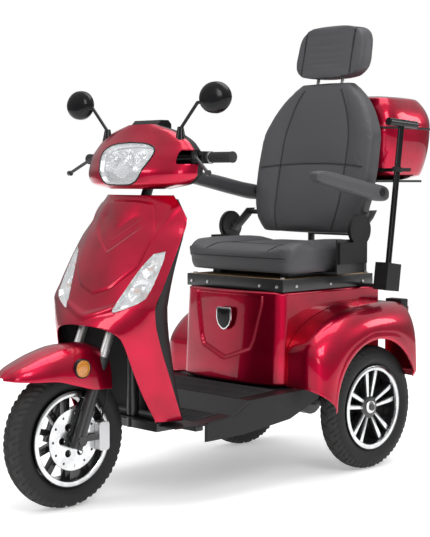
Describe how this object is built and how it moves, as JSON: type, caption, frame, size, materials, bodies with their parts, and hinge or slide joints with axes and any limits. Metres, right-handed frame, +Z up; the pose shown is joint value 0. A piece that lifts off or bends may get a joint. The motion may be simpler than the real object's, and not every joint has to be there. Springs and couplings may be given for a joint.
{
  "type": "mobility scooter",
  "caption": "Three-wheeled electric mobility scooter with a sprung front fork, captain's seat with headrest and armrests, walking stick holder and rear top box.",
  "frame": {"origin": "on the ground at the centre of the length and width", "axes": "+Z up, front of the scooter towards -Y, rider's left towards +X"},
  "size_m": [0.75, 1.782, 1.4939],
  "materials": {
    "red_paint": "candy red metallic, clearcoat gloss",
    "red_lid": "candy red metallic, clearcoat gloss",
    "black_frame": "satin powder coat",
    "black_plastic": "fine grained",
    "floor_grey": "satin dark grey",
    "mat_rubber": "textured",
    "grip_rubber": "ribbed",
    "tyre_rubber": "matte black",
    "rim_alloy": "machined faces, black pockets",
    "bright_steel": "bright",
    "cast_alloy": "cast",
    "seat_leather": "grained charcoal leather look",
    "plywood": "bare plywood",
    "clear_lens": "clear",
    "amber_lens": "amber reflex",
    "tail_lens": "clear over red",
    "badge_black": "gloss black, bright rim",
    "panel_black": "gloss display",
    "battery_case": "moulded case"
  },
  "bodies": {
    "chassis": {"main_frame": "black_frame", "apron": "red_paint", "apron_centre_panel": "red_paint", "inner_legshield": "black_plastic", "signal_lamps": "clear_lens", "floor_board": "floor_grey", "floor_mat": "mat_rubber", "tower_cover": "red_paint", "tower_badge": "badge_black", "rear_fender_left": "red_paint", "rear_fender_right": "red_paint", "tail_lamps": "tail_lens", "seat_base_frame": "black_frame", "deck_board": "plywood", "battery_pack": "battery_case", "box_rack": "black_frame", "top_box_base": "red_paint", "stick_holder": "black_frame", "deck_bolts": "bright_steel", "shock_bodies": "black_plastic"},
    "steering": {"fork_crown": "black_frame", "fork_stanchions": "bright_steel", "handlebar": "black_frame", "cowl_front": "red_paint", "cowl_rear": "black_plastic", "headlight_lens": "clear_lens", "left_grip": "grip_rubber", "control_pods": "black_plastic", "instrument_panel": "panel_black", "mirror_arms": "black_plastic"},
    "throttle": {"throttle_grip": "grip_rubber"},
    "left_lever": {"brake_lever_left": "cast_alloy"},
    "right_lever": {"brake_lever_right": "cast_alloy"},
    "horn": {"horn_button": "black_plastic"},
    "left_mirror": {"mirror_head_left": "black_plastic"},
    "right_mirror": {"mirror_head_right": "black_plastic"},
    "fork_lower": {"fork_legs": "black_frame", "front_fender": "red_paint", "fender_reflectors": "amber_lens", "brake_caliper": "cast_alloy", "brake_hose": "grip_rubber"},
    "front_wheel": {"front_tyre": "tyre_rubber", "front_rim": "rim_alloy", "brake_disc": "bright_steel"},
    "rear_axle": {"drive_axle": "black_frame"},
    "shock_rod_pair": {"shock_rods": "bright_steel"},
    "rear_wheel_left": {"rear_tyre_left": "tyre_rubber", "rear_rim_left": "rim_alloy"},
    "rear_wheel_right": {"rear_tyre_right": "tyre_rubber", "rear_rim_right": "rim_alloy"},
    "seat": {"seat_carriage": "black_frame", "seat_cushion": "seat_leather", "recliner_covers": "black_plastic"},
    "recline_handle": {"recline_lever": "black_plastic"},
    "back": {"backrest": "seat_leather"},
    "head": {"headrest": "seat_leather"},
    "left_arm": {"armrest_left": "seat_leather"},
    "right_arm": {"armrest_right": "seat_leather"},
    "lid": {"box_lid": "red_lid"},
    "stick": {"walking_stick": "black_plastic"}
  },
  "joints": [
    {"name": "steering_turn", "type": "hinge", "parent": "chassis", "child": "steering", "pos_m": [0, -0.63236, 0.19181], "axis": [0, 0.3746, 0.9272], "range_deg": [-32, 32]},
    {"name": "fork_compress", "type": "slide", "parent": "steering", "child": "fork_lower", "axis": [0, 0.3746, 0.9272], "range_m": [0, 0.035], "stiffness_N_per_m": 12000, "springref_m": -0.05},
    {"name": "front_wheel_spin", "type": "hinge", "parent": "fork_lower", "child": "front_wheel", "pos_m": [0, -0.665, 0.205], "axis": [1, 0, 0], "continuous": true},
    {"name": "throttle_twist", "type": "hinge", "parent": "steering", "child": "throttle", "pos_m": [-0.276, -0.29709, 1.02164], "axis": [-1, 0, 0], "range_deg": [0, 60], "stiffness_Nm_per_rad": 0.5, "springref_deg": -5.73},
    {"name": "left_brake_lever_pull", "type": "hinge", "parent": "steering", "child": "left_lever", "pos_m": [0.212, -0.34309, 1.02164], "axis": [0, 0, 1], "range_deg": [0, 16], "stiffness_Nm_per_rad": 2, "springref_deg": -2.86},
    {"name": "left_mirror_tilt", "type": "hinge", "parent": "steering", "child": "left_mirror", "pos_m": [0.27, -0.355, 1.18], "axis": [1, 0, 0], "range_deg": [-15, 15]},
    {"name": "right_brake_lever_pull", "type": "hinge", "parent": "steering", "child": "right_lever", "pos_m": [-0.212, -0.34309, 1.02164], "axis": [0, 0, -1], "range_deg": [0, 16], "stiffness_Nm_per_rad": 2, "springref_deg": -2.86},
    {"name": "right_mirror_tilt", "type": "hinge", "parent": "steering", "child": "right_mirror", "pos_m": [-0.27, -0.355, 1.18], "axis": [1, 0, 0], "range_deg": [-15, 15]},
    {"name": "horn_press", "type": "slide", "parent": "steering", "child": "horn", "axis": [0, -1, 0], "range_m": [0, 0.002], "stiffness_N_per_m": 400, "springref_m": -0.001},
    {"name": "rear_axle_swing", "type": "hinge", "parent": "chassis", "child": "rear_axle", "pos_m": [0, 0.129, 0.217], "axis": [1, 0, 0], "range_deg": [0, 5], "stiffness_Nm_per_rad": 1600, "springref_deg": -11.46},
    {"name": "shock_rod_turn", "type": "hinge", "parent": "rear_axle", "child": "shock_rod_pair", "pos_m": [0, 0.391, 0.239], "axis": [1, 0, 0], "range_deg": [-5, 0]},
    {"name": "rear_wheel_left_spin", "type": "hinge", "parent": "rear_axle", "child": "rear_wheel_left", "pos_m": [0.284, 0.379, 0.205], "axis": [1, 0, 0], "continuous": true},
    {"name": "rear_wheel_right_spin", "type": "hinge", "parent": "rear_axle", "child": "rear_wheel_right", "pos_m": [-0.284, 0.379, 0.205], "axis": [1, 0, 0], "continuous": true},
    {"name": "seat_slide", "type": "slide", "parent": "chassis", "child": "seat", "axis": [0, 1, 0], "range_m": [-0.12, 0]},
    {"name": "backrest_fold", "type": "hinge", "parent": "seat", "child": "back", "pos_m": [0, 0.326, 0.793], "axis": [1, 0, 0], "range_deg": [0, 68]},
    {"name": "headrest_lift", "type": "slide", "parent": "back", "child": "head", "axis": [0, 0.2079, 0.9781], "range_m": [0, 0.05]},
    {"name": "left_armrest_raise", "type": "hinge", "parent": "back", "child": "left_arm", "pos_m": [0.286, 0.425, 0.915], "axis": [-1, 0, 0], "range_deg": [0, 92]},
    {"name": "right_armrest_raise", "type": "hinge", "parent": "back", "child": "right_arm", "pos_m": [-0.286, 0.425, 0.915], "axis": [-1, 0, 0], "range_deg": [0, 92]},
    {"name": "recline_lever_pull", "type": "hinge", "parent": "seat", "child": "recline_handle", "pos_m": [-0.306, 0.249, 0.716], "axis": [-1, 0, 0], "range_deg": [0, 20], "stiffness_Nm_per_rad": 1, "springref_deg": -5.73},
    {"name": "box_lid_open", "type": "hinge", "parent": "chassis", "child": "lid", "pos_m": [0, 0.59, 1.1455], "axis": [1, 0, 0], "range_deg": [0, 40]},
    {"name": "walking_stick_lift", "type": "slide", "parent": "chassis", "child": "stick", "axis": [0, 0.1357, 0.9907], "range_m": [0, 0.34]}
  ],
  "couplings": [
    {"joint": "shock_rod_turn", "follows": "rear_axle_swing", "ratio": -1}
  ]
}
